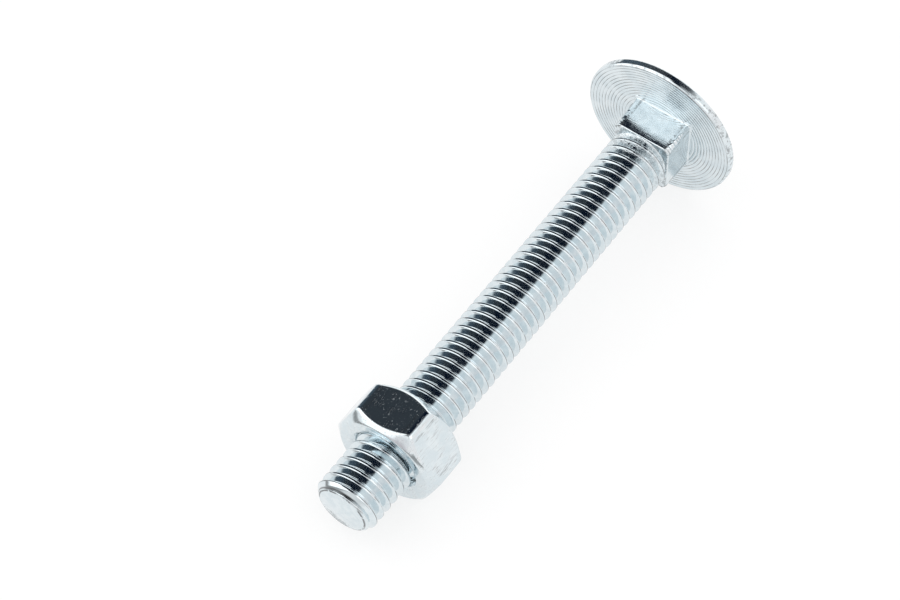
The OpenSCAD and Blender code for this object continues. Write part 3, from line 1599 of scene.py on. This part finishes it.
@dataclass(frozen=True)
class Floor:
    """Pale floor that looks white and keeps the bolt's shadow.

    What metal mirrors of it is darker beyond the point.

    Args:
        reach: Half its side, in metres.
        colour: Its colour under the lamps.
        camera_white: Strength at which the camera sees it white.
        glow: Share of its own light in what the camera and metal see.
        dark_from: Place along +X at which the dark part begins, and is full, in metres.
        dark_side: Place to each side at which it begins, and is full.
        dark_share: How dark it is, from 0 to 1.
        ahead_side: Place to each side at which the paler strip straight ahead begins, and is full.
        ahead_share: How far that strip takes the darkness back, from 0 to 1.
    """

    reach: float = 3.0
    colour: Colour = (0.9, 0.9, 0.9)
    camera_white: float = 1.05
    glow: float = 0.7
    dark_from: Edge = (0.044, 0.055)
    dark_side: Edge = (0.12, 0.08)
    dark_share: float = 0.94
    ahead_side: Edge = (0.03, 0.016)
    ahead_share: float = 0.7

    def build(self) -> None:
        """Makes the floor."""
        bm = bmesh.new()
        bmesh.ops.create_grid(bm, x_segments=1, y_segments=1, size=self.reach)
        mesh = bpy.data.meshes.new("floor")
        bm.to_mesh(mesh)
        bm.free()
        made = bpy.data.objects.new("floor", mesh)
        bpy.context.scene.collection.objects.link(made)
        mesh.materials.append(self.material())

    def material(self) -> bpy.types.Material:
        """Makes the floor's material.

        Returns:
            A matt material that also glows for the camera and for reflections.
        """
        made = bpy.data.materials.new("floor")
        made.use_nodes = True
        graph = Graph(made.node_tree)
        matt = graph.node("ShaderNodeBsdfDiffuse", {}, {"Color": (*self.colour, 1)})
        camera = graph.node("ShaderNodeLightPath", {}, {}, output="Is Camera Ray")
        glossy = graph.node("ShaderNodeLightPath", {}, {}, output="Is Glossy Ray")
        spot = graph.node("ShaderNodeTexCoord", {}, {}, output="Object")
        along, across, _ = graph.parts(spot)
        dark = along.ramp(*self.dark_from) * self.strip(across, self.dark_side)
        dark = dark * (1 - self.strip(across, self.ahead_side) * self.ahead_share)
        white = 1.0 - dark * self.dark_share
        strength = white + camera * (self.camera_white - white)
        glow = graph.node("ShaderNodeEmission", {}, {"Color": (1, 1, 1, 1), "Strength": strength})
        seen = graph.node("ShaderNodeMath", {"operation": "MAXIMUM"}, {0: camera, 1: glossy})
        surface = graph.node("ShaderNodeMixShader", {}, {0: seen * self.glow, 1: matt, 2: glow})
        graph.node("ShaderNodeOutputMaterial", {}, {"Surface": surface})
        return made

    @staticmethod
    def strip(across: Socket, side: Edge) -> Socket:
        """Gives 1 in a strip along the middle, with the same soft edge on both sides."""
        return across.ramp(*side) * across.ramp(-side[0], -side[1])


@dataclass(frozen=True)
class Surroundings:
    """White surroundings with dark and bright patches that only metal mirrors.

    Edges along the bolt are cosines of the angle from the point's direction, and edges round
    it are degrees from up, growing towards +Y.

    Args:
        gap: The dark gap between the lamps, over the bolt.
        bridge: Its narrow part towards the point.
        gap_low: Colour of its low end.
        gap_near: Colour of its middle.
        near: Edge round the bolt between those colours.
        gap_deep: Colour of its darkest part.
        deep: Edge round the bolt at which the darkest part begins.
        wing: The grey strip beside the gap.
        wing_colour: Its colour.
        wing_share: Its strength.
        warm: Edges round the bolt of the faintly warm side.
        warm_colour: Its colour.
        lit_ahead: Edges along and round the bolt of the brighter zone towards the point.
        lit_behind: Edges along and round the bolt of the brighter zone over the head.
        lit_from: Edge round the bolt at which both zones begin.
        lit_colour: Their colour.
        end: Edge along the bolt of the patch in the direction of the point.
        end_colour: Its colour.
        end_share: Its strength.
        white: Colour of the rest, and what all but reflections see.
    """

    gap: Patch = Patch(((-0.76, -0.66), (-0.06, -0.18)), ((-112, -86), (38, 28)))
    bridge: Patch = Patch(((-0.2, -0.1), (0.6, 0.45)), ((-6, 4), (36, 24)))
    gap_low: Colour = (0.062, 0.09, 0.118)
    gap_near: Colour = (0.034, 0.042, 0.051)
    near: Edge = (-66, -34)
    gap_deep: Colour = (0.002, 0.007, 0.018)
    deep: Edge = (-28, -8)
    wing: Patch = Patch(((-0.74, -0.64), (-0.36, -0.46)), ((-122, -112), (-70, -84)))
    wing_colour: Colour = (0.10, 0.11, 0.12)
    wing_share: float = 0.75
    warm: Band = ((40, 84), (134, 120))
    warm_colour: Colour = (1.02, 0.97, 0.96)
    lit_ahead: Band = ((-0.02, 0.12), (4, -6))
    lit_behind: Band = ((-0.78, -0.86), (80, 60))
    lit_from: Edge = (-110, -80)
    lit_colour: Colour = (1.4, 1.4, 1.4)
    end: Edge = (0.93, 0.98)
    end_colour: Colour = (0.50, 0.43, 0.46)
    end_share: float = 0.7
    white: Colour = (1, 1, 1)

    def build(self, frame: BoltFrame) -> None:
        """Makes the world.

        Args:
            frame: The bolt's place, whose direction the patches are placed by.
        """
        world = bpy.data.worlds.new("surroundings")
        bpy.context.scene.world = world
        world.use_nodes = True
        graph = Graph(world.node_tree)
        way = graph.node("ShaderNodeTexCoord", {}, {}, output="Generated")
        turned = graph.node(
            "ShaderNodeMapping", {"vector_type": "TEXTURE"},
            {"Vector": way, "Rotation": (0, frame.lean - math.pi / 2, 0)},
        )
        along, across, up = graph.parts(turned)
        mirrored = self.mirrored(graph, along, graph.angle(across, up))
        glossy = graph.node("ShaderNodeLightPath", {}, {}, output="Is Glossy Ray")
        colour = graph.blend(glossy, self.white, mirrored)
        light = graph.node("ShaderNodeBackground", {}, {"Color": colour, "Strength": 1.0})
        graph.node("ShaderNodeOutputWorld", {}, {"Surface": light})

    def mirrored(self, graph: Graph, along: Socket, around: Socket) -> Socket:
        """Works out what metal mirrors in each direction.

        Args:
            graph: The world's graph.
            along: Cosine of the angle from the point's direction.
            around: Angle round the bolt from up, in radians.

        Returns:
            The colour.
        """
        near, deep = around.ramp_degrees(*self.near), around.ramp_degrees(*self.deep)
        dark = graph.blend(deep, graph.blend(near, self.gap_low, self.gap_near), self.gap_deep)
        lit = sum(
            along.ramp(*edge) * around.ramp_degrees(*side)
            for edge, side in (self.lit_ahead, self.lit_behind)
        )
        lit = lit * around.ramp_degrees(*self.lit_from)
        wall = graph.blend(around.sector(*self.warm), self.white, self.warm_colour)
        wall = graph.blend(lit, wall, self.lit_colour)
        wall = graph.blend(along.ramp(*self.end) * self.end_share, wall, self.end_colour)
        wing = self.wing.mask(along, around) * self.wing_share
        wall = graph.blend(wing, wall, self.wing_colour)
        return graph.blend(
            self.gap.mask(along, around) + self.bridge.mask(along, around), wall, dark
        )


@dataclass(frozen=True)
class Studio:
    """The camera, the floor, the surroundings and two soft lamps.

    Args:
        camera: The camera.
        floor: The floor.
        surroundings: What the metal mirrors.
        lamps: The lamps.
    """

    camera: Camera = Camera()
    floor: Floor = Floor()
    surroundings: Surroundings = Surroundings()
    lamps: tuple[Softbox, ...] = (
        Softbox("right_softbox", (0.05, 0.45, 0.55), size=0.6, power=0.5),
        Softbox("left_softbox", (0.25, -0.5, 0.45), size=0.5, power=0.3),
    )

    def build(self, frame: BoltFrame) -> None:
        """Makes the whole studio.

        Args:
            frame: The bolt's place.
        """
        self.camera.build()
        self.floor.build()
        self.surroundings.build(frame)
        for lamp in self.lamps:
            lamp.build()
        bpy.context.scene.view_settings.view_transform = "Standard"


def main() -> None:
    """Loads the frame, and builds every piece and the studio."""
    logging.basicConfig(level=logging.INFO, format="%(name)s: %(message)s")
    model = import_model()
    frame = BoltFrame.from_record(model["record"])
    Studio().build(frame)
    shop = Workshop(frame)
    form, head = ThreadForm(), Head()
    turned = TurnedZinc(frame=frame, head=head).material()
    rolled = RolledZinc(frame=frame, form=form).material()
    forged = ForgedZinc(frame=frame).material()
    pressed = PressedZinc(frame=frame).material()
    head.build(shop, turned)
    Neck().build(shop, forged)
    Shank(form, frame.length).build(shop, rolled)
    Nut(form, frame.nut_at).build(shop, pressed)


if __name__ == "__main__":
    main()
